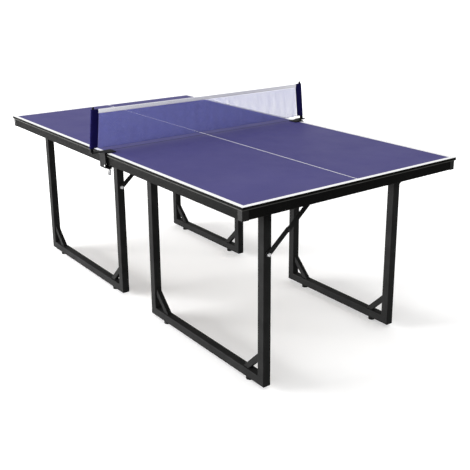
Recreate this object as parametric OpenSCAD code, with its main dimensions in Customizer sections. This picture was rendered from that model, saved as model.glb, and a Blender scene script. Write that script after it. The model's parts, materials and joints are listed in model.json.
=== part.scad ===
// Folding table tennis table: two free-standing half tables that push together at a centre seam.
// Each half has a board on a square-tube frame and two U-shaped leg frames that fold inwards.
// The front leg frames are longer and stand wider apart than the back ones, so that all of them
// lie under the top when folded. A net clips on at the seam.
// +X runs along the table, +Y from the front side to the back side, +Z up from the floor.
// The origin is on the floor, below the middle of the net.

/* [Playing top] */
// Length of the whole top, both halves together
table_length = 2000; // [1980:10:2100]
// Width of the top
table_width = 1100; // [1080:10:1160]
// Height of the playing surface above the floor
table_height = 760; // [750:5:780]
// Thickness of each board
board_thickness = 12; // [10:1:13]
// Thickness of the plastic band round the board's edge
edge_band_thickness = 1.5; // [1:0.5:2.5]
// Gap between the two halves at the seam
seam_gap = 1; // [0.6:0.2:2]

/* [Steel tubes] */
// Side of the square cross tubes under the board, and width of the rails round them
rail_size = 25; // [24:1:26]
// Height of the rails round the edge of the board
rail_height = 38; // [32:1:40]
// Side of the square tubes in the leg frames
leg_size = 35; // [34:1:35]
// Wall thickness of all the tubes
tube_wall = 1.5; // [1.2:0.1:2]
// Outside corner radius of all the tubes
tube_corner = 2.5; // [2.2:0.1:3]
// How far the board stands out past the tubes under it
rail_setback = 5; // [4:0.5:7]

/* [Leg frames] */
// Distance from the seam to the middle of each leg frame
frame_centre_x = 535; // [530:1:540]
// Length of a front leg frame, over its legs
front_frame_length = 803; // [802:1:804]
// Length of a back leg frame, over its legs
back_frame_length = 655; // [654:1:656]
// Distance from the table's long axis to the front leg frames
front_frame_y = 390; // [385:1:395]
// Distance from the table's long axis to the back leg frames
back_frame_y = 357; // [354:1:360]
// Depth of the front frames' hinge bolts below the playing surface
front_pivot_depth = 56.5; // [56:0.5:57]
// Depth of the back frames' hinge bolts below the playing surface
back_pivot_depth = 94; // [93.5:0.5:95]
// Length of a corner gusset along the leg and along the foot rail
gusset_reach = 95; // [80:5:120]
// Depth of a gusset tube across the foot rail
gusset_depth = 20; // [14:1:30]
// Width of a gusset tube seen from the side
gusset_width = 22; // [16:1:24]
// Height of the rubber feet
foot_height = 14; // [12:1:15]
// Distance from the end of a foot rail to the middle of its foot
foot_inset = 105; // [95:1:115]

/* [Knee braces] */
// Distance from a front frame's hinge bolt down to its brace bolt
brace_bolt_drop = 162; // [160:1:164]
// Distance from the front leg frame to the brace's anchor bolt
brace_anchor_reach = 210; // [208:1:212]
// Depth of the brace's anchor bolt below the playing surface
brace_anchor_depth = 38; // [37:1:39]
// Width of the brace's flat bars
brace_width = 20; // [16:1:20]
// Thickness of the brace's flat bars
brace_thickness = 3; // [2.5:0.5:3]

/* [Net] */
// Height of the net's top edge above the playing surface
net_top = 183; // [160:1:190]
// Height of the net's bottom edge above the playing surface
net_bottom = 18; // [14:1:24]
// Height of the white tape along the net's top edge
tape_height = 18; // [14:1:24]
// Distance from the table's edge out to the foot of each net post
post_outreach = 42; // [38:1:50]
// Lean of the posts towards the net, in degrees
post_lean = 5.5; // [0:0.5:6]
// Radius of the posts
post_radius = 5; // [4:0.5:5.5]

/* [Hidden] */

// Sides of the table, as the sign of X
right = 1;
left = -1;
// Sides of the table, as the sign of Y
front = -1;
back = 1;

// Colours
playing_blue = [0.33, 0.32, 0.55];
frame_black = [0.10, 0.10, 0.10];
trim_black = [0.14, 0.14, 0.14];
bright_steel = [0.75, 0.75, 0.76];
black_steel = [0.16, 0.16, 0.17];
rubber_black = [0.05, 0.05, 0.05];
net_blue = [0.32, 0.35, 0.68];
tape_white = [0.90, 0.90, 0.95];
sleeve_navy = [0.06, 0.05, 0.25];

// Facets of a full circle: all round parts are true cylinders
round_fn = 64;
// Side overhang of every cutter, so that no two faces lie in one plane
over = 1;
// Play all round a turning bolt, and between faces that slide past each other
bolt_play = 0.05;
face_play = 0.3;

// Heights of the layers of the top
board_z = table_height - board_thickness;
cross_tube_z = board_z - rail_size;
rail_z = board_z - rail_height;

// Outer faces of the tube frame under each board
frame_end_x = table_length/2 - rail_setback;
frame_seam_x = rail_setback;
frame_side_y = table_width/2 - rail_setback;

// Bolts and nuts
bolt_radius = 4;
head_radius = 7.5;
head_height = 5;
nut_height = 6;
bore_radius = bolt_radius + bolt_play;

// Screws that hold each board down, from below through the tubes
screw_bite = board_thickness - 4;
board_screw_radius = 2;
board_screw_head_radius = 4;
board_screw_head_height = 2;

// Hinge plates hang from the sides of the cross tubes, a little clear of the legs
plate_thickness = 3;
plate_radius = 18;
front_half = front_frame_length/2;
back_half = back_frame_length/2;
// The two cross tubes stand midway between a front leg and the back leg next to it
leg_gap_middle = (front_half + back_half - leg_size)/2;
cross_tube_x = [frame_centre_x - leg_gap_middle, frame_centre_x + leg_gap_middle];
// Places of the board's screws, with the height of the tube's lower face: three along each side
// rail, at shares of its length, and two in each cross tube
side_rail_y = frame_side_y - rail_size/2;
side_screw_shares = [0.15, 0.5, 0.85];
cross_screw_y = 150;
board_screw_places = [
    for (share = side_screw_shares, row = [-1, 1])
        [share*table_length/2, row*side_rail_y, rail_z],
    for (x = cross_tube_x, row = [-1, 1]) [x, row*cross_screw_y, cross_tube_z]
];
front_pivot_z = table_height - front_pivot_depth;
back_pivot_z = table_height - back_pivot_depth;

// A back frame's lock bolt runs in a quarter-circle slot, with a wider notch at each end
lock_radius = 34;
lock_plate_radius = 48;
slot_half_width = 4.3;
notch_radius = 5;

// Leg tubes end just above their hinge bolts
leg_top_rise = 14;
// Wall at the closed top end of a leg tube
leg_cap = 2;

// Length that a gusset tube takes up along the leg
gusset_band = gusset_width*sqrt(2);

// Rubber feet
foot_radius = 14;
foot_neck_radius = 9;
foot_base = 11;
foot_round = 2.5;

// Planes of the brace's parts, measured from the leg's outer face
lower_bar_gap = 4;
upper_bar_gap = lower_bar_gap + brace_thickness + 0.4;
bracket_gap = upper_bar_gap + brace_thickness + 0.6;

// Knee brace, in the plane across the table. It is straight with the frame upright.
// With the frame folded, the upper bar passes the brace bolt's head at brace_pass.
brace_bolt_z = front_pivot_z - brace_bolt_drop;
anchor_z = table_height - brace_anchor_depth;
brace_rise = anchor_z - brace_bolt_z;
brace_span = norm([brace_anchor_reach, brace_rise]);
brace_angle = atan2(brace_rise, brace_anchor_reach);
brace_pass = 18.5;
folded_gap = norm([brace_anchor_reach - brace_bolt_drop, anchor_z - front_pivot_z]);
folded_run = sqrt(folded_gap*folded_gap - brace_pass*brace_pass);
upper_bar = (brace_span*brace_span - folded_gap*folded_gap)/(2*(brace_span - folded_run));
lower_bar = brace_span - upper_bar;
bar_end = brace_width/2;
rivet_radius = 5;
rivet_height = 2;
bracket_foot = 20;
bracket_radius = 13;

// Net posts and clamps
post_foot_y = table_width/2 + post_outreach;
post_bottom_z = table_height - 2;
post_top_z = table_height + net_top + 6;
post_slope = tan(post_lean);
clamp_plate = 4;
clamp_x = [4, 56];
clamp_outer_y = table_width/2 + 8;
clamp_reach = 53;
clamp_lower_z = rail_z - 14;
clamp_arm_x = [-10, 22];
clamp_arm_y = post_foot_y + 9;
socket_radius = 8;
socket_rise = 16;
screw_x = 40;
screw_y = side_rail_y;
screw_radius = 4;
screw_boss_radius = 10;
screw_boss_height = 8;
pad_radius = 10;
pad_height = 4;
pad_top_z = rail_z - face_play;
tip_radius = 3;
tip_length = 2.2;
paddle_width = 14;
paddle_height = 26;
paddle_thickness = 4;
paddle_straight = (paddle_height - paddle_width)/2;
paddle_z = rail_z - 38;
paddle_turn = 40;

// Net cloth, tape and end sleeves
net_thickness = 2;
tape_thickness = 6;
sleeve_thickness = 14;
sleeve_outer = 11;
sleeve_inner = 28;
cord_radius = 1.5;
net_top_z = table_height + net_top;
net_bottom_z = table_height + net_bottom;
tape_bottom_z = net_top_z - tape_height;
cord_z = net_top_z - tape_thickness;

// Distance of the posts' axis from the table's long axis at a height
function post_y(z) = post_foot_y - (z - table_height)*post_slope;
// Distance of a leg frame's plane from the table's long axis, signed
function frame_y(row) = row == front ? -front_frame_y : back_frame_y;
function frame_half(row) = row == front ? front_half : back_half;
function pivot_z(row) = row == front ? front_pivot_z : back_pivot_z;
// Outer face of the leg that carries a front frame's brace: always the one further along +X
function brace_face_x(side) =
    side == right ? frame_centre_x + front_half : -(frame_centre_x - front_half);

// ---- Shapes that repeat ----

// Draws its children for the right half, or mirrored for the left half
module on_half(side) {
    if (side == right) children();
    else mirror([1, 0, 0]) children();
}

// Draws its children, which are made for the front, on the front or mirrored to the back
module on_row(row) {
    if (row == front) children();
    else mirror([0, 1, 0]) children();
}

// Turns an outline drawn in Y and Z into a slab that starts at x
module slab_x(x, thickness) {
    translate([x, 0, 0]) rotate([90, 0, 90]) linear_extrude(thickness) children();
}

// Turns an outline drawn in X and Z into a slab centred on y
module slab_y(y, thickness) {
    translate([0, y + thickness/2, 0]) rotate([90, 0, 0]) linear_extrude(thickness) children();
}

// A solid cylinder along X that starts at x
module rod_x(x, length, y, z, radius, sides = round_fn) {
    translate([x, y, z]) rotate([0, 90, 0]) cylinder(h = length, r = radius, $fn = sides);
}

// Rectangle with rounded corners, centred
module rounded_outline(wide, high, corner) {
    square([wide, high - 2*corner], center = true);
    square([wide - 2*corner, high], center = true);
    for (x = [-1, 1], y = [-1, 1])
        translate([x*(wide/2 - corner), y*(high/2 - corner)]) circle(corner, $fn = round_fn);
}

// Hollow tube along Z, from 0 to length, open at its bottom; closed_end is its top wall
module tube_z(length, wide, high, closed_end = 0) {
    bore_length = closed_end > 0 ? length - closed_end + over : length + 2*over;
    difference() {
        linear_extrude(length) rounded_outline(wide, high, tube_corner);
        translate([0, 0, -over]) linear_extrude(bore_length)
            rounded_outline(wide - 2*tube_wall, high - 2*tube_wall, tube_corner - tube_wall);
    }
}

// Hollow tube along X between two places, with its upper face at z
module tube_x(from_x, to_x, y, z, wide, high) {
    translate([from_x, y, z - high/2]) rotate([0, 90, 0]) tube_z(to_x - from_x, high, wide);
}

// Hollow tube along Y between two places, with its upper face at z
module tube_y(from_y, to_y, x, z, wide, high) {
    translate([x, to_y, z - high/2]) rotate([90, 0, 0]) tube_z(to_y - from_y, wide, high);
}

// ---- Top of each half ----

module top_board(side) {
    inner_x = seam_gap/2 + edge_band_thickness;
    outer_x = table_length/2 - edge_band_thickness;
    half_y = table_width/2 - edge_band_thickness;
    color(playing_blue) on_half(side) difference() {
        translate([inner_x, -half_y, board_z])
            cube([outer_x - inner_x, 2*half_y, board_thickness]);
        board_screw_bores();
    }
}

// Bores for the board's screws, up through the tubes and into the board
module board_screw_bores() {
    for (place = board_screw_places) translate([place[0], place[1], place[2] - over])
        cylinder(h = board_z + screw_bite + bolt_play - place[2] + over,
                 r = board_screw_radius + bolt_play, $fn = round_fn);
}

// Long screws with flat round heads under the tubes
module board_screws(side) {
    color(bright_steel) on_half(side) for (place = board_screw_places)
        translate(place) {
            cylinder(h = board_z + screw_bite - place[2], r = board_screw_radius,
                     $fn = round_fn);
            translate([0, 0, -board_screw_head_height])
                cylinder(h = board_screw_head_height, r = board_screw_head_radius,
                         $fn = round_fn);
        }
}

module edge_band(side) {
    length = table_length/2 - seam_gap/2;
    color(trim_black) on_half(side) translate([seam_gap/2, -table_width/2, board_z]) difference() {
        cube([length, table_width, board_thickness]);
        translate([edge_band_thickness, edge_band_thickness, -over])
            cube([length - 2*edge_band_thickness, table_width - 2*edge_band_thickness,
                  board_thickness + 2*over]);
    }
}

// Rails under the two long edges of the half
module side_rails(side) {
    color(frame_black) on_half(side) difference() {
        for (row = [front, back])
            tube_x(frame_seam_x, frame_end_x, row*side_rail_y, board_z, rail_size, rail_height);
        board_screw_bores();
    }
}

// Tube across the half at x, between the side rails
module across_tube(side, x, high) {
    reach = frame_side_y - rail_size;
    color(frame_black) on_half(side) tube_y(-reach, reach, x, board_z, rail_size, high);
}

module end_rail(side) {
    across_tube(side, frame_end_x - rail_size/2, rail_height);
}

module centre_rail(side) {
    across_tube(side, frame_seam_x + rail_size/2, rail_height);
}

module cross_tubes(side) {
    difference() {
        for (x = cross_tube_x) across_tube(side, x, rail_size);
        on_half(side) board_screw_bores();
    }
}

// Plastic guards that wrap the outer corners of the tube frame and cover the tube ends
module corner_guards(side) {
    wall = 1.5;
    corner = 3.5;
    wrap = rail_size + wall;
    color(trim_black) on_half(side) for (row = [front, back]) on_row(row)
        translate([frame_end_x + wall, -frame_side_y - wall, rail_z]) linear_extrude(rail_height)
            difference() {
                union() {
                    translate([-wrap, corner]) square([wrap, wrap - corner]);
                    translate([-wrap, 0]) square([wrap - corner, wrap]);
                    translate([-corner, corner]) circle(corner, $fn = round_fn);
                }
                translate([-wrap - over, wall]) square([wrap - wall + over, wrap]);
            }
}

// Outline of a hinge plate: an eye round the bolt and a tab welded to the cross tube's side
module hinge_plate_outline(y, z) {
    translate([y, z]) circle(plate_radius, $fn = round_fn);
    translate([y - plate_radius, z]) square([2*plate_radius, board_z - z]);
    translate([y - plate_radius - 12, cross_tube_z]) square([2*plate_radius + 24, rail_size]);
}

// Outline that adds the lock bolt's quadrant on the inner side of a back hinge plate
module lock_quadrant_outline(y, z) {
    translate([y, z]) intersection() {
        circle(lock_plate_radius, $fn = round_fn);
        translate([-lock_plate_radius, -lock_plate_radius])
            square([lock_plate_radius + 11, 2*lock_plate_radius]);
    }
    translate([y - lock_plate_radius, z]) square([lock_plate_radius, board_z - z]);
}

// Quarter-circle slot with its two notches
module lock_slot(x, y, z) {
    translate([x - over, y, z]) rotate([90, 0, 90]) {
        rotate([0, 0, 180]) rotate_extrude(angle = 90, $fn = round_fn)
            translate([lock_radius - slot_half_width, 0])
                square([2*slot_half_width, plate_thickness + 2*over]);
        for (angle = [180, 270]) translate([lock_radius*cos(angle), lock_radius*sin(angle), 0])
            cylinder(h = plate_thickness + 2*over, r = notch_radius, $fn = round_fn);
    }
}

// Left face of the hinge plate at one end of a leg frame; end is -1 next to the seam, 1 outside
function plate_x(row, end) =
    let (tube = cross_tube_x[end == -1 ? 0 : 1], before = (row == front) == (end == -1))
    before ? tube - rail_size/2 - plate_thickness : tube + rail_size/2;

module hinge_plates(side) {
    color(frame_black) on_half(side) for (row = [front, back], end = [-1, 1]) difference() {
        slab_x(plate_x(row, end), plate_thickness) union() {
            hinge_plate_outline(frame_y(row), pivot_z(row));
            if (row == back && end == -1) lock_quadrant_outline(frame_y(row), pivot_z(row));
        }
        rod_x(plate_x(row, end) - over, plate_thickness + 2*over, frame_y(row), pivot_z(row),
              bore_radius);
        if (row == back && end == -1) lock_slot(plate_x(row, end), frame_y(row), pivot_z(row));
    }
}

// Bolt that runs from leg_x, a leg's outer face, towards toward (1 or -1) through leg and plate.
// Its head is clear of the leg; its collar fills the gap between leg and plate.
module hinge_bolt(leg_x, toward, y, z) {
    plate_near = leg_size + 4;
    plate_far = plate_near + plate_thickness;
    translate([leg_x, y, z]) rotate([0, 90*toward, 0]) {
        translate([0, 0, -head_height - face_play])
            cylinder(h = head_height, r = head_radius, $fn = 6);
        translate([0, 0, -face_play])
            cylinder(h = plate_far + face_play, r = bolt_radius, $fn = round_fn);
        translate([0, 0, leg_size + face_play])
            cylinder(h = plate_near - leg_size - face_play, r = head_radius, $fn = round_fn);
        translate([0, 0, plate_far]) cylinder(h = nut_height, r = head_radius, $fn = 6);
    }
}

// Anchor bolt of the knee brace: head, shank through the upper bar and the bracket, nut
module anchor_bolt(side) {
    x = brace_face_x(side);
    head_x = x + upper_bar_gap - face_play - 3;
    bracket_x = x + bracket_gap;
    y = -front_frame_y + brace_anchor_reach;
    rod_x(head_x, 3, y, anchor_z, head_radius, 6);
    rod_x(head_x, bracket_x + plate_thickness - head_x, y, anchor_z, bolt_radius);
    rod_x(bracket_x + plate_thickness, nut_height, y, anchor_z, head_radius, 6);
}

// Hinge bolts of the four legs, and the brace's anchor bolt
module pivot_bolts(side) {
    color(black_steel) {
        on_half(side) for (row = [front, back], end = [-1, 1]) {
            // The plate is on the outside of back frames and on the inside of front frames
            away = row == front ? end : -end;
            leg_middle = frame_centre_x + end*(frame_half(row) - leg_size/2);
            hinge_bolt(leg_middle + away*leg_size/2, -away, frame_y(row), pivot_z(row));
        }
        anchor_bolt(side);
    }
}

// Angle bracket under the board that holds the upper end of the brace
module brace_bracket(side) {
    x = brace_face_x(side) + bracket_gap;
    y = -front_frame_y + brace_anchor_reach;
    color(frame_black) difference() {
        union() {
            slab_x(x, plate_thickness) {
                translate([y, anchor_z]) circle(bracket_radius, $fn = round_fn);
                translate([y - bracket_radius, anchor_z])
                    square([2*bracket_radius, board_z - anchor_z]);
            }
            translate([x, y - bracket_radius, board_z - plate_thickness])
                cube([bracket_foot, 2*bracket_radius, plate_thickness]);
        }
        rod_x(x - over, plate_thickness + 2*over, y, anchor_z, bore_radius);
    }
}

// ---- Leg frames ----

// Block whose face is the 45 degree mitre plane at a frame's lower corner, at x. end is 1 at the
// corner further from the seam. The block lies below the plane, or above it for the foot rail.
module mitre_block(x, end, above = false) {
    size = 2*leg_size;
    translate([x, 0, foot_height]) rotate([0, 45*end, 0])
        translate([-size, -size, above ? 0 : -size]) cube([2*size, 2*size, size]);
}

// The two legs of a frame, closed at the top and mitred at the bottom
module legs(side, row) {
    length = pivot_z(row) + leg_top_rise - foot_height;
    color(frame_black) on_half(side) for (end = [-1, 1]) {
        outer_x = frame_centre_x + end*frame_half(row);
        middle_x = outer_x - end*leg_size/2;
        difference() {
            translate([middle_x, frame_y(row), foot_height])
                tube_z(length, leg_size, leg_size, leg_cap);
            translate([0, frame_y(row), 0]) mitre_block(outer_x, end);
            rod_x(middle_x - leg_size, 2*leg_size, frame_y(row), pivot_z(row), bore_radius);
            if (row == front && carries_brace(side, end))
                rod_x(middle_x - leg_size, 2*leg_size, frame_y(row), brace_bolt_z, bore_radius);
            if (row == back && end == -1)
                rod_x(middle_x - leg_size, 2*leg_size, frame_y(row), back_pivot_z - lock_radius,
                      bore_radius);
        }
    }
}

// The brace is on the leg further along +X: the outer leg on the right half, the inner on the left
function carries_brace(side, end) = end == side;

// Foot rail of a frame, mitred at both ends to meet the legs
module foot_rail(side, row) {
    half = frame_half(row);
    color(frame_black) on_half(side) difference() {
        tube_x(frame_centre_x - half, frame_centre_x + half, frame_y(row),
               foot_height + leg_size, leg_size, leg_size);
        for (end = [-1, 1]) translate([0, frame_y(row), 0])
            mitre_block(frame_centre_x + end*half, end, above = true);
    }
}

// Gusset tube between leg and foot rail, drawn with its corner at the origin and reaching +X, +Z
module gusset() {
    wall_band = tube_wall*sqrt(2);
    outer = gusset_reach;
    inner = gusset_reach - gusset_band;
    difference() {
        slab_y(0, gusset_depth) polygon([[0, outer], [0, inner], [inner, 0], [outer, 0]]);
        slab_y(0, gusset_depth - 2*tube_wall)
            polygon([[-over, outer - wall_band + over], [-over, inner + wall_band + over],
                     [inner + wall_band + over, -over], [outer - wall_band + over, -over]]);
    }
}

module gussets(side, row) {
    reach = frame_half(row) - leg_size;
    color(frame_black) on_half(side)
        translate([frame_centre_x, frame_y(row), foot_height + leg_size]) {
            translate([-reach, 0, 0]) gusset();
            mirror([1, 0, 0]) translate([-reach, 0, 0]) gusset();
        }
}

// Round rubber feet under a foot rail: a disc with a rounded upper edge, and a neck
module feet(side, row) {
    color(rubber_black) on_half(side) for (end = [-1, 1])
        translate([frame_centre_x + end*(frame_half(row) - foot_inset), frame_y(row), 0])
            rotate_extrude($fn = round_fn) {
                square([foot_radius, foot_base - foot_round]);
                square([foot_radius - foot_round, foot_base]);
                square([foot_neck_radius, foot_height]);
                intersection() {
                    translate([foot_radius - foot_round, foot_base - foot_round])
                        circle(foot_round, $fn = round_fn);
                    square([foot_radius, foot_base]);
                }
            }
}

// Lock bolt of a back frame: it is fixed in the leg and slides in the hinge plate's slot
module lock_bolt(side) {
    inner_face = frame_centre_x - back_half;
    slot_x = plate_x(back, -1);
    z = back_pivot_z - lock_radius;
    color(black_steel) on_half(side) {
        rod_x(slot_x - face_play, inner_face + leg_size - slot_x + face_play, back_frame_y, z,
              bolt_radius);
        rod_x(slot_x - face_play - nut_height, nut_height, back_frame_y, z, head_radius, 6);
        rod_x(slot_x + plate_thickness + face_play, inner_face - slot_x - plate_thickness - face_play,
              back_frame_y, z, head_radius - over);
        rod_x(inner_face + leg_size, head_height, back_frame_y, z, head_radius, 6);
    }
}

// ---- Knee braces of the front frames ----

// Bolt that holds the lower bar on the leg: nut, shank, spacer and head
module brace_bolt(side) {
    x = brace_face_x(side);
    y = -front_frame_y;
    head_x = x + lower_bar_gap + brace_thickness + face_play;
    color(bright_steel) {
        rod_x(x - leg_size - nut_height, nut_height, y, brace_bolt_z, head_radius, 6);
        rod_x(x - leg_size, head_x - x + leg_size, y, brace_bolt_z, bolt_radius);
        rod_x(x, lower_bar_gap - face_play, y, brace_bolt_z, head_radius);
        rod_x(head_x, head_height, y, brace_bolt_z, head_radius, 6);
    }
}

// Flat bar with round ends and a hole at each end. It starts at y, z and runs along the brace.
module brace_bar(x, y, z, length) {
    translate([x, y, z]) rotate([brace_angle, 0, 0]) difference() {
        slab_x(0, brace_thickness) {
            translate([0, -bar_end]) square([length, brace_width]);
            for (end = [0, length]) translate([end, 0]) circle(bar_end, $fn = round_fn);
        }
        for (end = [0, length]) rod_x(-over, brace_thickness + 2*over, end, 0, bore_radius);
    }
}

module lower_brace(side) {
    color(frame_black)
        brace_bar(brace_face_x(side) + lower_bar_gap, -front_frame_y, brace_bolt_z, lower_bar);
}

module upper_brace(side) {
    color(frame_black)
        brace_bar(brace_face_x(side) + upper_bar_gap, -front_frame_y + lower_bar*cos(brace_angle),
                  brace_bolt_z + lower_bar*sin(brace_angle), upper_bar);
}

// Rivet at the knee, held in the upper bar
module brace_rivet(side) {
    x = brace_face_x(side) + upper_bar_gap;
    y = -front_frame_y + lower_bar*cos(brace_angle);
    z = brace_bolt_z + lower_bar*sin(brace_angle);
    color(bright_steel) {
        rod_x(x, brace_thickness, y, z, bolt_radius);
        rod_x(x + brace_thickness, rivet_height, y, z, rivet_radius);
    }
}

// ---- Net set ----

// Draws its children with their Z axis along the front post and their origin at table height
module along_post() {
    translate([0, -post_foot_y, table_height]) rotate([-post_lean, 0, 0]) children();
}

// Bent steel clamp: upper jaw, outer web and lower jaw on the right half, and an arm to the post
module net_clamp(row) {
    width = clamp_x[1] - clamp_x[0];
    color(trim_black) on_row(row) difference() {
        union() {
            translate([clamp_x[0], -clamp_outer_y, table_height])
                cube([width, clamp_reach, clamp_plate]);
            translate([clamp_x[0], -clamp_outer_y, clamp_lower_z])
                cube([width, clamp_plate, table_height + clamp_plate - clamp_lower_z]);
            translate([clamp_x[0], -clamp_outer_y, clamp_lower_z])
                cube([width, clamp_reach - 6, clamp_plate]);
            translate([screw_x, -screw_y, clamp_lower_z - screw_boss_height])
                cylinder(h = screw_boss_height, r = screw_boss_radius, $fn = round_fn);
            translate([clamp_arm_x[0], -clamp_arm_y, table_height])
                cube([clamp_arm_x[1] - clamp_arm_x[0], clamp_arm_y - clamp_outer_y + clamp_plate,
                      clamp_plate]);
            along_post() translate([0, 0, -2])
                cylinder(h = socket_rise + 2, r = socket_radius, $fn = round_fn);
        }
        along_post() translate([0, 0, -20])
            cylinder(h = 60, r = post_radius + bolt_play, $fn = round_fn);
        translate([screw_x, -screw_y, clamp_lower_z - screw_boss_height - over])
            cylinder(h = screw_boss_height + clamp_plate + 2*over, r = screw_radius + bolt_play,
                     $fn = round_fn);
    }
}

module net_post(row) {
    length = (post_top_z - post_bottom_z)/cos(post_lean);
    color(frame_black) on_row(row) along_post() translate([0, 0, post_bottom_z - table_height]) {
        cylinder(h = length, r = post_radius, $fn = round_fn);
        translate([0, 0, length]) sphere(post_radius, $fn = round_fn);
    }
}

// Pressure pad that the screw pushes up against the side rail
module clamp_pad(row) {
    color(rubber_black) on_row(row) translate([screw_x, -screw_y, pad_top_z - pad_height])
        difference() {
            cylinder(h = pad_height, r = pad_radius, $fn = round_fn);
            translate([0, 0, -over])
                cylinder(h = tip_length + face_play + over, r = tip_radius + bolt_play, $fn = round_fn);
        }
}

// Thumbscrew with an oval paddle at its lower end
module clamp_screw(row) {
    shank_top = pad_top_z - pad_height - face_play;
    color(bright_steel) on_row(row) translate([screw_x, -screw_y, 0]) {
        translate([0, 0, shank_top])
            cylinder(h = tip_length, r = tip_radius, $fn = round_fn);
        translate([0, 0, paddle_z])
            cylinder(h = shank_top - paddle_z, r = screw_radius, $fn = round_fn);
        rotate([0, 0, paddle_turn]) slab_y(0, paddle_thickness) translate([0, paddle_z]) {
            square([paddle_width, 2*paddle_straight], center = true);
            for (z = [-paddle_straight, paddle_straight])
                translate([0, z]) circle(paddle_width/2, $fn = round_fn);
        }
    }
}

// Outline across the table, between two heights, that ends inset inside the posts' axes
module between_posts(low, high, inset) {
    polygon([[-post_y(low) + inset, low], [post_y(low) - inset, low],
             [post_y(high) - inset, high], [-post_y(high) + inset, high]]);
}

module net_mesh() {
    color(net_blue, 0.6) slab_x(-net_thickness/2, net_thickness)
        between_posts(net_bottom_z, tape_bottom_z, sleeve_inner);
}

module net_top_tape() {
    color(tape_white) difference() {
        slab_x(-tape_thickness/2, tape_thickness)
            between_posts(tape_bottom_z, net_top_z, sleeve_inner);
        cord_hole();
    }
}

module cord_hole() {
    reach = post_y(cord_z);
    translate([0, reach, cord_z]) rotate([90, 0, 0])
        cylinder(h = 2*reach, r = cord_radius + bolt_play, $fn = round_fn);
}

// Cloth sleeves at the ends of the net that slip over the posts
module net_sleeves() {
    color(sleeve_navy) for (row = [front, back]) on_row(row) difference() {
        slab_x(-sleeve_thickness/2, sleeve_thickness) polygon([
            [-post_y(net_bottom_z) - sleeve_outer, net_bottom_z],
            [-post_y(net_bottom_z) + sleeve_inner, net_bottom_z],
            [-post_y(net_top_z) + sleeve_inner, net_top_z],
            [-post_y(net_top_z) - sleeve_outer, net_top_z]]);
        along_post() cylinder(h = 2*net_top, r = post_radius + bolt_play, $fn = round_fn);
        cord_hole();
    }
}

// Tension cord inside the tape, from post to post
module net_cord() {
    reach = post_y(cord_z) - post_radius - over;
    color(tape_white) translate([0, reach, cord_z]) rotate([90, 0, 0])
        cylinder(h = 2*reach, r = cord_radius, $fn = round_fn);
}

// ---- Nodes ----

top_board(right);  // right_top_board
edge_band(right);  // right_edge_band
board_screws(right);  // right_board_screws
side_rails(right);  // right_side_rails
end_rail(right);  // right_end_rail
centre_rail(right);  // right_centre_rail
cross_tubes(right);  // right_cross_tubes
corner_guards(right);  // right_corner_guards
hinge_plates(right);  // right_hinge_plates
pivot_bolts(right);  // right_pivot_bolts
brace_bracket(right);  // right_brace_bracket
legs(right, front);  // right_front_legs
foot_rail(right, front);  // right_front_foot_rail
gussets(right, front);  // right_front_gussets
feet(right, front);  // right_front_feet
brace_bolt(right);  // right_brace_bolt
lower_brace(right);  // right_lower_brace
upper_brace(right);  // right_upper_brace
brace_rivet(right);  // right_brace_rivet
legs(right, back);  // right_back_legs
foot_rail(right, back);  // right_back_foot_rail
gussets(right, back);  // right_back_gussets
feet(right, back);  // right_back_feet
lock_bolt(right);  // right_lock_bolt

top_board(left);  // left_top_board
edge_band(left);  // left_edge_band
board_screws(left);  // left_board_screws
side_rails(left);  // left_side_rails
end_rail(left);  // left_end_rail
centre_rail(left);  // left_centre_rail
cross_tubes(left);  // left_cross_tubes
corner_guards(left);  // left_corner_guards
hinge_plates(left);  // left_hinge_plates
pivot_bolts(left);  // left_pivot_bolts
brace_bracket(left);  // left_brace_bracket
legs(left, front);  // left_front_legs
foot_rail(left, front);  // left_front_foot_rail
gussets(left, front);  // left_front_gussets
feet(left, front);  // left_front_feet
brace_bolt(left);  // left_brace_bolt
lower_brace(left);  // left_lower_brace
upper_brace(left);  // left_upper_brace
brace_rivet(left);  // left_brace_rivet
legs(left, back);  // left_back_legs
foot_rail(left, back);  // left_back_foot_rail
gussets(left, back);  // left_back_gussets
feet(left, back);  // left_back_feet
lock_bolt(left);  // left_lock_bolt

net_clamp(front);  // front_net_clamp
net_clamp(back);  // back_net_clamp
net_post(front);  // front_net_post
net_post(back);  // back_net_post
clamp_pad(front);  // front_clamp_pad
clamp_pad(back);  // back_clamp_pad
clamp_screw(front);  // front_clamp_screw
clamp_screw(back);  // back_clamp_screw
net_mesh();
net_top_tape();
net_sleeves();
net_cord();
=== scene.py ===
"""Looks of the folding table tennis table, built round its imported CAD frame.

Everything is in metres in the row frame: +X along the table, +Y from front to back, +Z up.
"""

import json
import math

import bpy
from mathutils import Matrix, Vector


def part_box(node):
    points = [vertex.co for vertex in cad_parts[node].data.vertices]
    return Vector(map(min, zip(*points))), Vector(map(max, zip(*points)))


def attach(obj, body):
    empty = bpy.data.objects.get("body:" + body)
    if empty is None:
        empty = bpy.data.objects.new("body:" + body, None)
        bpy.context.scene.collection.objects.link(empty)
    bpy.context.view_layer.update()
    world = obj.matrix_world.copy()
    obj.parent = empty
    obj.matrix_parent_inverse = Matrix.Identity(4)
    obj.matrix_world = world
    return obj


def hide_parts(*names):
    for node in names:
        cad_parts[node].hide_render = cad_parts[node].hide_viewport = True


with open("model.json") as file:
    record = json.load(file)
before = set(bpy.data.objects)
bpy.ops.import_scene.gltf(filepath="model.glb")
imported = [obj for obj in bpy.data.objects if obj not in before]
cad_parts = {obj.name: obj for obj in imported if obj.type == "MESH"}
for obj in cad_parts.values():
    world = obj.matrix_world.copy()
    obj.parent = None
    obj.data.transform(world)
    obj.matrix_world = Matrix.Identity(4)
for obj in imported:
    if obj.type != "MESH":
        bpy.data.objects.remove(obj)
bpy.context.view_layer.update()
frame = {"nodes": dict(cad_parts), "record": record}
nodes = frame["nodes"]
scene = bpy.context.scene

# ---- Places taken from the frame ----

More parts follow.
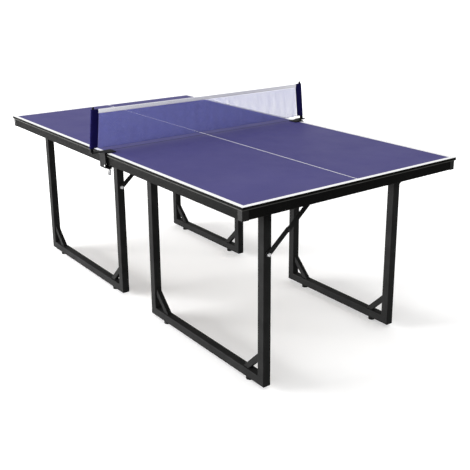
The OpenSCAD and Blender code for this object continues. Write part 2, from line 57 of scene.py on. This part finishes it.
band_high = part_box("right_edge_band")[1]
mesh_low, mesh_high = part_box("net_mesh")
tape_low, tape_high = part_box("net_top_tape")
HALF_LENGTH = band_high.x
HALF_WIDTH = band_high.y
TOP = band_high.z


# ---- Camera ----

CAMERA_PLACE = (2.89518, -1.98869, 1.52938)
CAMERA_YAW, CAMERA_PITCH, CAMERA_ROLL = 0.93121, 0.28634, -0.00673


def add_camera():
    """Stands off the front right corner, at the height and distance of the reference view."""
    data = bpy.data.cameras.new("camera")
    data.sensor_width = 36.0
    data.lens = 58.59
    data.shift_y = -0.1
    data.clip_end = 60.0
    camera = bpy.data.objects.new("camera", data)
    scene.collection.objects.link(camera)
    turn = (Matrix.Rotation(CAMERA_YAW, 4, "Z")
            @ Matrix.Rotation(math.pi / 2 - CAMERA_PITCH, 4, "X")
            @ Matrix.Rotation(CAMERA_ROLL, 4, "Z"))
    camera.matrix_world = Matrix.Translation(CAMERA_PLACE) @ turn
    scene.camera = camera


# ---- Node helpers ----

class Look:
    """A node material that is built up in words: one Principled shader, and nodes that feed it."""

    def __init__(self, name):
        self.material = bpy.data.materials.new(name)
        self.material.use_nodes = True
        self.tree = self.material.node_tree
        self.shader = self.tree.nodes["Principled BSDF"]
        self.place = self.tree.nodes.new("ShaderNodeTexCoord").outputs["Object"]

    def node(self, kind, settings=None, **inputs):
        """Adds a node; inputs are its sockets' values or the outputs that feed them."""
        node = self.tree.nodes.new(kind)
        for name, value in (settings or {}).items():
            setattr(node, name, value)
        for name, value in inputs.items():
            self.feed(node.inputs[name], value)
        return node

    def feed(self, socket, value):
        if isinstance(value, bpy.types.NodeSocket):
            self.tree.links.new(value, socket)
        else:
            socket.default_value = value

    def math(self, operation, *values, clamp=False):
        node = self.node("ShaderNodeMath", {"operation": operation, "use_clamp": clamp})
        for socket, value in zip(node.inputs, values):
            self.feed(socket, value)
        return node.outputs[0]

    def part(self, vector):
        """The X, Y and Z of a vector."""
        return self.node("ShaderNodeSeparateXYZ", Vector=vector).outputs

    def stretched(self, scale):
        """Object coordinates, scaled differently along each axis."""
        return self.node("ShaderNodeMapping", Vector=self.place, Scale=scale).outputs["Vector"]

    def noise(self, scale, detail=4.0, roughness=0.55, place=None):
        node = self.node("ShaderNodeTexNoise", Vector=place or self.place, Scale=scale,
                         Detail=detail, Roughness=roughness)
        return node.outputs["Fac"]

    def ramp(self, factor, *stops):
        """Two-stop ramp; each stop is a place from 0 to 1 and a colour or a grey."""
        node = self.node("ShaderNodeValToRGB", Fac=factor)
        for element, (place, colour) in zip(node.color_ramp.elements, stops):
            element.position = place
            element.color = (*colour, 1.0) if isinstance(colour, tuple) else (*(colour,) * 3, 1.0)
        return node.outputs["Color"]

    def mix(self, factor, a, b, blend="MIX"):
        """Colours a and b; with the plain blend, factor 0 gives a and factor 1 gives b."""
        node = self.node("ShaderNodeMix", {"data_type": "RGBA", "blend_type": blend},
                         Factor=factor, A=a, B=b)
        return node.outputs["Result"]

    def bump(self, height, depth, before=None):
        """Raises the surface by up to depth metres where height is 1."""
        node = self.node("ShaderNodeBump", Height=height, Distance=depth, Strength=1.0)
        if before is not None:
            self.feed(node.inputs["Normal"], before)
        return node.outputs["Normal"]

    def finish(self, colour, roughness, normal, **constants):
        self.feed(self.shader.inputs["Base Color"], colour)
        self.feed(self.shader.inputs["Roughness"], roughness)
        self.feed(self.shader.inputs["Normal"], normal)
        for name, value in constants.items():
            self.shader.inputs[name.replace("_", " ")].default_value = value
        return self.material


def band(look, value, middle, half, soft):
    """1 where value is within half of middle, falling to 0 over soft."""
    distance = look.math("ABSOLUTE", look.math("SUBTRACT", value, middle))
    return look.math("DIVIDE", look.math("SUBTRACT", half + soft, distance), soft, clamp=True)


def beyond(look, value, limit, soft):
    """1 where value is past limit, rising from 0 over soft."""
    return look.math("DIVIDE", look.math("SUBTRACT", value, limit - soft), soft, clamp=True)


def ridges(look, value, pitch):
    """Waves from 0 to 1, pitch metres apart along value."""
    return look.math("SINE", look.math("MULTIPLY", value, 2 * math.pi / pitch))


def raised(look, wave):
    """Brings a wave from the range -1 to 1 into 0 to 1."""
    return look.math("MULTIPLY_ADD", wave, 0.5, 0.5)


# ---- Materials ----

EDGE_LINE = 0.020
CENTRE_LINE = 0.0032
LINE_SOFTNESS = 0.0004
LINE_THICKNESS = 0.00006
# Frame paint takes paler tones below this height, fading in over this distance.
PALER_BELOW = 0.69
PALER_FADE = 0.07
# Painted highlight along the lower edge of the band round the board: its height, half width and
# fade.
HIGHLIGHT_HEIGHT = 0.7495
HIGHLIGHT_HALF = 0.0012
HIGHLIGHT_FADE = 0.0010


def playing_surface():
    """Blue-violet paint with printed white lines above, raw fibreboard below."""
    look = Look("playing_surface")
    x, y, _ = look.part(look.place)
    side = beyond(look, look.math("ABSOLUTE", y), HALF_WIDTH - EDGE_LINE, LINE_SOFTNESS)
    end = beyond(look, look.math("ABSOLUTE", x), HALF_LENGTH - EDGE_LINE, LINE_SOFTNESS)
    centre = band(look, y, 0.0, CENTRE_LINE / 2, LINE_SOFTNESS)
    line = look.math("MAXIMUM", look.math("MAXIMUM", side, end), centre)
    cloudy = look.ramp(look.noise(2.3, 3.0),
                       (0.3, (0.050, 0.044, 0.182)), (0.7, (0.060, 0.053, 0.205)))
    grain = look.ramp(look.noise(900.0, 2.0), (0.3, 0.82), (0.7, 1.0))
    paint = look.mix(1.0, cloudy, grain, "MULTIPLY")
    white = look.ramp(look.noise(60.0, 3.0), (0.3, 0.80), (0.7, 0.88))
    painted = look.mix(line, paint, white)
    fibre = look.noise(160.0, 6.0, 0.7, look.stretched((0.35, 1.0, 1.0)))
    raw = look.ramp(fibre, (0.25, (0.15, 0.115, 0.085)), (0.75, (0.30, 0.24, 0.18)))
    facing = look.part(look.node("ShaderNodeNewGeometry").outputs["Normal"])[2]
    colour = look.mix(look.math("LESS_THAN", facing, -0.5), painted, raw)
    normal = look.bump(line, LINE_THICKNESS)
    normal = look.bump(look.noise(520.0, 2.0), 0.00009, before=normal)
    normal = look.bump(look.noise(2600.0, 2.0), 0.00003, before=normal)
    rough = look.ramp(look.noise(7.0, 5.0), (0.3, 0.52), (0.7, 0.60))
    return look.finish(colour, rough, normal, Specular_IOR_Level=0.15)


def powder_coat(name, low, high, rough, specular, lower_tones=None):
    """Black paint baked on steel: a fine orange peel and faint cloudiness. With two lower tones it
    is greyer below a height, on the legs."""
    look = Look(name)
    tone = look.ramp(look.noise(9.0, 5.0), (0.3, low), (0.7, high))
    if lower_tones:
        # Paler tones below a height, on the legs.
        above_mask = beyond(look, look.part(look.place)[2], PALER_BELOW, PALER_FADE)
        lower_tone = look.ramp(look.noise(14.0, 6.0, 0.65), (0.3, lower_tones[0]), (0.7, lower_tones[1]))
        tone = look.mix(above_mask, lower_tone, tone)
    speck = look.ramp(look.noise(1500.0, 1.0), (0.55, 0.0), (0.8, 0.012))
    colour = look.mix(1.0, tone, speck, "ADD")
    peel = look.bump(look.noise(700.0, 3.0), 0.00007)
    roughness = look.ramp(look.noise(30.0, 4.0), (0.3, rough - 0.05), (0.7, rough + 0.06))
    return look.finish(colour, roughness, peel, Specular_IOR_Level=specular)


def moulded_plastic(name, low, high, rough, specular, painted_highlight=False):
    """Black moulded plastic: a spark-eroded grain with rubbed, slightly greyer patches. With the
    painted highlight set, a paler line is painted along the lower edge of the band round the board,
    where light catches it."""
    look = Look(name)
    rubbed = look.noise(22.0, 6.0, 0.65)
    colour = look.ramp(rubbed, (0.35, low), (0.75, high))
    if painted_highlight:
        # Painted highlight: a paler line where light catches the band's lower edge.
        line = band(look, look.part(look.place)[2], HIGHLIGHT_HEIGHT, HIGHLIGHT_HALF, HIGHLIGHT_FADE)
        highlight_tone = look.ramp(rubbed, (0.3, (0.030, 0.030, 0.028)), (0.7, (0.060, 0.060, 0.057)))
        colour = look.mix(line, colour, highlight_tone)
    grain = look.node("ShaderNodeTexVoronoi", Vector=look.place, Scale=1400.0).outputs["Distance"]
    roughness = look.ramp(rubbed, (0.3, rough), (0.7, rough + 0.1))
    return look.finish(colour, roughness, look.bump(grain, 0.00005), Specular_IOR_Level=specular)


def foot_rubber():
    """Matt black rubber with a little dust."""
    look = Look("foot_rubber")
    dust = look.noise(85.0, 6.0, 0.7)
    colour = look.ramp(dust, (0.35, (0.004, 0.004, 0.004)), (0.8, (0.014, 0.014, 0.013)))
    normal = look.bump(look.noise(1300.0, 3.0), 0.00008)
    roughness = look.ramp(dust, (0.3, 0.72), (0.7, 0.9))
    return look.finish(colour, roughness, normal, Specular_IOR_Level=0.06)


def plated_steel(name, low, high, rough):
    """Plated steel: faint turning marks, spangle and duller patches."""
    look = Look(name)
    patches = look.noise(120.0, 5.0)
    colour = look.ramp(patches, (0.3, low), (0.7, high))
    marks = look.noise(900.0, 3.0, 0.5, look.stretched((1.0, 6.0, 6.0)))
    roughness = look.ramp(patches, (0.3, rough), (0.7, rough + 0.14))
    return look.finish(colour, roughness, look.bump(marks, 0.00002), Metallic=1.0)


def woven(name, low, high, threads, depth, rough, sheen, specular=0.25):
    """Plain weave across the table's length: threads per metre along Y and Z."""
    look = Look(name)
    _, y, z = look.part(look.place)
    crossing = look.math("MULTIPLY", ridges(look, y, 1 / threads), ridges(look, z, 1 / threads))
    height = raised(look, crossing)
    patches = look.noise(35.0, 5.0, 0.6)
    tone = look.ramp(patches, (0.3, low), (0.7, high))
    shade = look.ramp(height, (0.0, 0.72), (0.7, 1.0))
    colour = look.mix(1.0, tone, shade, "MULTIPLY")
    normal = look.bump(height, depth)
    normal = look.bump(look.noise(2400.0, 2.0), depth / 3, before=normal)
    roughness = look.ramp(patches, (0.3, rough), (0.7, rough + 0.08))
    return look.finish(colour, roughness, normal, Sheen_Weight=sheen, Specular_IOR_Level=specular)


def twisted_twine(name, low, high, pitch, depth):
    """Twisted yarn: slanting ridges and a little fuzz."""
    look = Look(name)
    x, y, z = look.part(look.place)
    slant = look.math("ADD", y, look.math("ADD", z, look.math("MULTIPLY", x, 0.8)))
    height = raised(look, ridges(look, slant, pitch))
    patches = look.noise(45.0, 5.0, 0.6)
    tone = look.ramp(patches, (0.3, low), (0.7, high))
    shade = look.ramp(height, (0.0, 0.75), (0.6, 1.0))
    colour = look.mix(1.0, tone, shade, "MULTIPLY")
    roughness = look.ramp(patches, (0.3, 0.62), (0.7, 0.75))
    return look.finish(colour, roughness, look.bump(height, depth), Sheen_Weight=0.3,
                       Specular_IOR_Level=0.3)


# For each slot: its maker, its darker and lighter tone, and the maker's other settings.
SLOT_LOOKS = {
    # The edge trim carries a painted highlight along the lower edge of its band.
    "edge_trim": (moulded_plastic, (0.0015, 0.0015, 0.0014), (0.003, 0.003, 0.0028),
                  {"rough": 0.55, "specular": 0.018, "painted_highlight": True}),
    "frame_paint": (powder_coat, (0.0014, 0.0014, 0.0013), (0.0026, 0.0026, 0.0024),
                    {"rough": 0.5, "specular": 0.018,
                     "lower_tones": ((0.009, 0.009, 0.009), (0.015, 0.015, 0.015))}),
    "guard_plastic": (moulded_plastic, (0.006, 0.006, 0.006), (0.012, 0.012, 0.012),
                      {"rough": 0.42, "specular": 0.07}),
    "bolt_steel": (plated_steel, (0.42, 0.42, 0.43), (0.62, 0.62, 0.62), {"rough": 0.3}),
    "black_bolt_steel": (plated_steel, (0.018, 0.018, 0.019), (0.04, 0.04, 0.04),
                         {"rough": 0.42}),
    "screw_steel": (plated_steel, (0.16, 0.16, 0.17), (0.28, 0.28, 0.28), {"rough": 0.34}),
    "clamp_paint": (powder_coat, (0.002, 0.002, 0.0022), (0.004, 0.004, 0.0045),
                    {"rough": 0.45, "specular": 0.03}),
    "net_cloth": (twisted_twine, (0.060, 0.076, 0.33), (0.092, 0.108, 0.43),
                  {"pitch": 0.0016, "depth": 0.0001}),
    "tape_cloth": (woven, (0.94, 0.94, 0.98), (0.98, 0.98, 1.0),
                   {"threads": 900.0, "depth": 0.00012, "rough": 0.7, "sheen": 0.1}),
    "sleeve_cloth": (woven, (0.003, 0.002, 0.042), (0.006, 0.004, 0.062),
                     {"threads": 1100.0, "depth": 0.0001, "rough": 0.62, "sheen": 0.0,
                      "specular": 0.06}),
    "cord_braid": (twisted_twine, (0.6, 0.6, 0.6), (0.75, 0.75, 0.75),
                   {"pitch": 0.0025, "depth": 0.0002}),
}


def make_looks():
    """One material for each of the record's slots."""
    looks = {slot: make(slot, low, high, **settings)
             for slot, (make, low, high, settings) in SLOT_LOOKS.items()}
    looks["playing_surface"] = playing_surface()
    looks["foot_rubber"] = foot_rubber()
    return looks


def dress_nodes(looks):
    for part in frame["record"]["subparts"]:
        data = nodes[part["node"]].data
        data.materials.clear()
        data.materials.append(looks[part["material_slot"]])


# ---- Room ----

FLOOR_EDGE = 30.0
# The floor's glow for the camera: its strength close to the table and far off, in metres.
GLOW_NEAR, GLOW_FAR = (1.3, 0.20), (3.5, 0.7)
ROOM_FRONT_LEFT, ROOM_BACK_RIGHT = 0.8, 0.85
BACKDROP = 1.02


def floor_material():
    """White floor with a glow that only the camera sees, so that its edge melts into the room."""
    look = Look("studio_floor")
    tone = look.ramp(look.noise(0.8, 3.0), (0.3, 0.86), (0.7, 0.88))
    normal = look.bump(look.noise(300.0, 2.0), 0.00005)
    roughness = look.ramp(look.noise(5.0, 2.0), (0.3, 0.75), (0.7, 0.85))
    seen = look.node("ShaderNodeLightPath").outputs["Is Camera Ray"]
    away = look.node("ShaderNodeVectorMath", {"operation": "LENGTH"}, Vector=look.place)
    glow = look.node("ShaderNodeMapRange", Value=away.outputs["Value"])
    for end, (distance, strength) in (("Min", GLOW_NEAR), ("Max", GLOW_FAR)):
        glow.inputs["From " + end].default_value = distance
        glow.inputs["To " + end].default_value = strength
    look.feed(look.shader.inputs["Emission Strength"],
              look.math("MULTIPLY", seen, glow.outputs["Result"]))
    return look.finish(tone, roughness, normal, Specular_IOR_Level=0.0,
                       Emission_Color=(1.0, 1.0, 1.0, 1.0))


def add_floor():
    corners = [(-1, -1), (1, -1), (1, 1), (-1, 1)]
    data = bpy.data.meshes.new("studio_floor")
    data.from_pydata([(x * FLOOR_EDGE, y * FLOOR_EDGE, 0) for x, y in corners], [],
                     [(0, 1, 2, 3)])
    data.materials.append(floor_material())
    floor = bpy.data.objects.new("studio_floor", data)
    scene.collection.objects.link(floor)


def add_area(name, place, aim, size, power):
    data = bpy.data.lights.new(name, "AREA")
    data.shape = "RECTANGLE"
    data.size, data.size_y = size
    data.energy = power
    lamp = bpy.data.objects.new(name, data)
    scene.collection.objects.link(lamp)
    lamp.location = place
    lamp.rotation_euler = (Vector(aim) - Vector(place)).to_track_quat("-Z", "Y").to_euler()


def add_room():
    """A white room, a little brighter at the back right. The camera sees it as a white backdrop."""
    world = bpy.data.worlds.new("studio")
    world.use_nodes = True
    scene.world = world
    tree = world.node_tree
    background = tree.nodes["Background"]
    direction = tree.nodes.new("ShaderNodeTexCoord").outputs["Generated"]
    across = tree.nodes.new("ShaderNodeVectorMath")
    across.operation = "DOT_PRODUCT"
    across.inputs[1].default_value = (0.7, 0.7, 0.0)
    tree.links.new(direction, across.inputs[0])
    fade = tree.nodes.new("ShaderNodeMapRange")
    fade.inputs["From Min"].default_value = -0.8
    fade.inputs["From Max"].default_value = 0.8
    fade.inputs["To Min"].default_value = ROOM_FRONT_LEFT
    fade.inputs["To Max"].default_value = ROOM_BACK_RIGHT
    tree.links.new(across.outputs["Value"], fade.inputs["Value"])
    seen = tree.nodes.new("ShaderNodeLightPath").outputs["Is Camera Ray"]
    level = tree.nodes.new("ShaderNodeMix")
    tree.links.new(seen, level.inputs["Factor"])
    tree.links.new(fade.outputs["Result"], level.inputs["A"])
    level.inputs["B"].default_value = BACKDROP
    tree.links.new(level.outputs["Result"], background.inputs["Strength"])
    background.inputs["Color"].default_value = (1.0, 1.0, 1.0, 1.0)


def add_lights():
    """A long low soft box off the front left corner, and a broad dim one overhead."""
    add_area("key", (-3.0, -4.9, 0.85), (0.0, -0.3, 0.3), (3.5, 1.5), 1000.0)
    add_area("ceiling", (0.0, 0.0, 5.2), (0.0, 0.0, 0.0), (7.0, 7.0), 90.0)


# ---- Pieces made here ----

class Shape:
    """Vertices and faces gathered from several closed tubes and lofts."""

    def __init__(self):
        self.vertices = []
        self.faces = []

    def loft(self, rings):
        """Closed skin over rings with the same number of points, capped at both ends."""
        first, count = len(self.vertices), len(rings[0])
        for ring in rings:
            self.vertices.extend(ring)
        for at in range(len(rings) - 1):
            low, high = first + at * count, first + (at + 1) * count
            for k in range(count):
                nxt = (k + 1) % count
                self.faces.append((low + k, low + nxt, high + nxt, high + k))
        self.faces.append(tuple(first + k for k in reversed(range(count))))
        last = first + (len(rings) - 1) * count
        self.faces.append(tuple(last + k for k in range(count)))

    def tube(self, points, radius, sides):
        """Round bar along points."""
        turns = [2 * math.pi * k / sides for k in range(sides)]
        rings = []
        for at, point in enumerate(points):
            along = (points[min(at + 1, len(points) - 1)] - points[max(at - 1, 0)]).normalized()
            across = along.cross(Vector((1.0, 0.0, 0.0))).normalized()
            up = along.cross(across)
            rings.append([point + (across * math.cos(t) + up * math.sin(t)) * radius
                          for t in turns])
        self.loft(rings)

    def piece(self, name, look):
        """A smooth object on the right half, which the net's clamps grip."""
        data = bpy.data.meshes.new(name)
        data.from_pydata(self.vertices, [], self.faces)
        data.materials.append(look)
        data.shade_smooth()
        piece = bpy.data.objects.new(name, data)
        scene.collection.objects.link(piece)
        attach(piece, "right_half")
        return piece


# ---- Net ----

POST_FOOT_Y = 0.592
POST_LEAN = math.radians(5.5)
SLEEVE_REACH = 0.028
SLEEVE_OUTSIDE = 0.0105
DRAPE_COLUMNS, DRAPE_ROWS = 120, 14
DRAPE_RIPPLE = 0.0012
DRAPE_STEPS = 30
CLOTH_SETTINGS = {
    "vertex_group_mass": "pinned", "quality": 6, "mass": 0.15, "tension_stiffness": 25,
    "compression_stiffness": 25, "bending_stiffness": 0.4, "shrink_min": -0.006,
    "air_damping": 4,
}
MESH_PITCH = 0.0052
TWINE_RADIUS = 0.00098
HEM_SWELL = 1.5
TAPE_SAG = 0.0015
TAPE_STEPS = 160
TAPE_TUCK = 0.004
STITCH_PITCH = 0.0035
STITCH_RADIUS = 0.00022
STITCH_INSET = 0.006
STITCH_ABOVE = 0.0028
SLEEVE_STEPS = 60


def post_y(z):
    """Distance of the posts' axes from the table's long axis, at a height."""
    return POST_FOOT_Y - (z - TOP) * math.tan(POST_LEAN)


def net_reach(z):
    """Half of the width of the net between its sleeves, at a height."""
    return post_y(z) - SLEEVE_REACH


def settle(drape):
    """Runs the cloth simulation with the top edge and both ends pinned; gives the vertices."""
    top_row = DRAPE_ROWS * (DRAPE_COLUMNS + 1)
    pinned = [i for i in range(len(drape.data.vertices))
              if i >= top_row or i % (DRAPE_COLUMNS + 1) in (0, DRAPE_COLUMNS)]
    drape.vertex_groups.new(name="pinned").add(pinned, 1.0, "REPLACE")
    cloth = drape.modifiers.new("cloth", "CLOTH")
    for name, value in CLOTH_SETTINGS.items():
        setattr(cloth.settings, name, value)
    cloth.point_cache.frame_start, cloth.point_cache.frame_end = 1, DRAPE_STEPS
    for step in range(1, DRAPE_STEPS + 1):
        scene.frame_set(step)
    settled = drape.evaluated_get(bpy.context.evaluated_depsgraph_get())
    vertices = [tuple(v.co) for v in settled.data.vertices]
    scene.frame_set(1)
    return vertices


def hang_net():
    """The net as it hangs from the tape between the sleeves: a function of place on the cloth."""
    columns, rows = DRAPE_COLUMNS, DRAPE_ROWS
    vertices = []
    for row in range(rows + 1):
        z = mesh_low.z + (mesh_high.z - mesh_low.z) * row / rows
        slack = math.sin(math.pi * (1 - row / rows) / 2)
        for column in range(columns + 1):
            y = net_reach(z) * (2 * column / columns - 1)
            vertices.append((DRAPE_RIPPLE * math.sin(37.0 * y + 2.0) * slack, y, z))
    corners = [r * (columns + 1) + c for r in range(rows) for c in range(columns)]
    faces = [(i, i + 1, i + columns + 2, i + columns + 1) for i in corners]
    data = bpy.data.meshes.new("net_drape")
    data.from_pydata(vertices, [], faces)
    drape = bpy.data.objects.new("net_drape", data)
    scene.collection.objects.link(drape)
    vertices = settle(drape)
    bpy.data.objects.remove(drape)
    grid = [[Vector(vertices[r * (columns + 1) + c]) for c in range(columns + 1)]
            for r in range(rows + 1)]

    def at(u, v):
        """Point of the hanging net; u runs from front to back and v from bottom to top."""
        c, r = u * columns, v * rows
        c0, r0 = min(int(c), columns - 1), min(int(r), rows - 1)
        c, r = c - c0, r - r0
        low = grid[r0][c0].lerp(grid[r0][c0 + 1], c)
        high = grid[r0 + 1][c0].lerp(grid[r0 + 1][c0 + 1], c)
        return low.lerp(high, r)

    return at


def weave_net(at, looks):
    """Over-and-under mesh of twine that follows the hanging cloth, with a thicker lower hem."""
    uprights = round(2 * net_reach(mesh_low.z) / MESH_PITCH)
    levels = round((mesh_high.z - mesh_low.z) / MESH_PITCH)
    lift = TWINE_RADIUS * 0.7
    shape = Shape()
    for i in range(1, uprights):
        points = [at(i / uprights, j / levels) + Vector((lift * (-1) ** (i + j), 0, 0))
                  for j in range(levels + 1)]
        shape.tube(points, TWINE_RADIUS, 4)
    for j in range(levels):
        points = [at(i / uprights, j / levels) + Vector((-lift * (-1) ** (i + j), 0, 0))
                  for i in range(uprights + 1)]
        shape.tube(points, TWINE_RADIUS * (HEM_SWELL if j == 0 else 1.0), 4)
    return shape.piece("net_twine", looks["net_cloth"])


def tape_ring(y, sag, swell):
    """Outline of the folded tape across the net at y: round over the cord, flat below it."""
    top, bottom = tape_high.z - sag, tape_low.z - sag * 0.6
    bulge, flat = 0.0026 + swell, 0.0013
    centre = top - bulge
    arc = [(bulge * math.cos(math.pi * k / 8), centre + bulge * math.sin(math.pi * k / 8))
           for k in range(9)]
    side = [(flat * 1.2, centre - 0.004), (flat, (centre + bottom) / 2 - 0.001),
            (flat, bottom + 0.0006), (flat * 0.5, bottom)]
    outline = arc + [(-x, z) for x, z in side] + side[::-1]
    return [Vector((x, y, z)) for x, z in outline]


def add_tape(looks):
    """White tape folded over the tension cord, with a row of stitches on each side."""
    reach = net_reach(tape_high.z) + TAPE_TUCK
    rings = []
    for k in range(TAPE_STEPS + 1):
        y = reach * (2 * k / TAPE_STEPS - 1)
        swell = 0.00018 * math.sin(61.0 * y) + 0.00012 * math.sin(143.0 * y + 1.0)
        rings.append(tape_ring(y, TAPE_SAG * (1 - (y / reach) ** 2), swell))
    folded = Shape()
    folded.loft(rings)
    stitches = Shape()
    stitch = [(0.0009, 0.0), (0.0016, 0.0004), (0.0016, 0.0021), (0.0009, 0.0025)]
    for side in (-1, 1):
        for k in range(int(2 * (reach - STITCH_INSET) / STITCH_PITCH)):
            y = -reach + STITCH_INSET + k * STITCH_PITCH
            z = tape_low.z + STITCH_ABOVE - 0.6 * TAPE_SAG * (1 - (y / reach) ** 2)
            points = [Vector((side * x, y + along, z)) for x, along in stitch]
            stitches.tube(points, STITCH_RADIUS, 5)
    return (folded.piece("net_tape", looks["tape_cloth"]),
            stitches.piece("tape_stitches", looks["cord_braid"]))


def sleeve_ring(z, side, gather):
    """Outline of an end sleeve at height z: slack round the post, and pinched flat at the net."""
    wave = 0.0005 * math.sin(z * 97.0 + side) + 0.0003 * math.sin(z * 231.0)
    arc = [(0.0067 * math.cos(math.pi * k / 16) * gather,
            SLEEVE_OUTSIDE * math.sin(math.pi * k / 16) * gather) for k in range(17)]
    halves = (0.0062, 0.0058, 0.0050, 0.0042, 0.0036, 0.0026, 0.0016)
    pinch = [(half * gather, -(0.003 + 0.0036 * at)) for at, half in enumerate(halves)]
    outline = (arc + [(-half - wave * 0.5, out) for half, out in pinch] + [(0.0, -SLEEVE_REACH)]
               + [(half + wave * 0.7, out) for half, out in reversed(pinch)])
    return [Vector((x, side * (post_y(z) + out), z)) for x, out in outline]


def add_sleeves(looks):
    """Cloth sleeves over the posts, gathered at a hem above and below."""
    shape = Shape()
    low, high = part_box("net_sleeves")
    for side in (-1, 1):
        rings = []
        for k in range(SLEEVE_STEPS + 1):
            z = low.z + (high.z - low.z) * k / SLEEVE_STEPS
            from_end = min(k, SLEEVE_STEPS - k)
            gather = 0.90 if from_end == 0 else 1.0 - 0.05 * (from_end in (3, 4))
            rings.append(sleeve_ring(z, side, gather))
        shape.loft(rings)
    return shape.piece("end_sleeves", looks["sleeve_cloth"])


def add_net(looks):
    twine = weave_net(hang_net(), looks)
    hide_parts("net_mesh")
    tape, stitches = add_tape(looks)
    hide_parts("net_top_tape")
    sleeves = add_sleeves(looks)
    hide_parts("net_sleeves")


# ---- Rivets on the net clamps ----

RIVET_X = 0.047
RIVET_OUT = 0.008
RIVET_ABOVE = 0.020
RIVET_RADIUS = 0.0045
RIVET_RISE = 0.0024
RIVET_SINK = 0.0003


def dome(centre, side):
    """Rings of a rivet head on a face across Y: side is -1 or 1, the way it looks."""
    sizes = [(RIVET_RADIUS, -side * RIVET_SINK)]
    for at in range(7):
        turn = math.pi / 2 * at / 7
        sizes.append((RIVET_RADIUS * math.cos(turn),
                      side * RIVET_RISE * (0.15 + 0.85 * math.sin(turn))))
    turns = [2 * math.pi * k / 24 for k in range(24)]
    rings = [[centre + Vector((across * math.cos(t), out, across * math.sin(t))) for t in turns]
             for across, out in sizes]
    return [ring[::-1] for ring in rings] if side > 0 else rings


def add_rivets(looks):
    shape = Shape()
    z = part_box("front_net_clamp")[0].z + RIVET_ABOVE
    for side in (-1, 1):
        shape.loft(dome(Vector((RIVET_X, side * (HALF_WIDTH + RIVET_OUT), z)), side))
    rivets = shape.piece("clamp_rivets", looks["bolt_steel"])


# ---- The scene ----

scene.view_settings.view_transform = "Standard"
add_camera()
add_floor()
add_room()
add_lights()
looks = make_looks()
dress_nodes(looks)
add_net(looks)
add_rivets(looks)
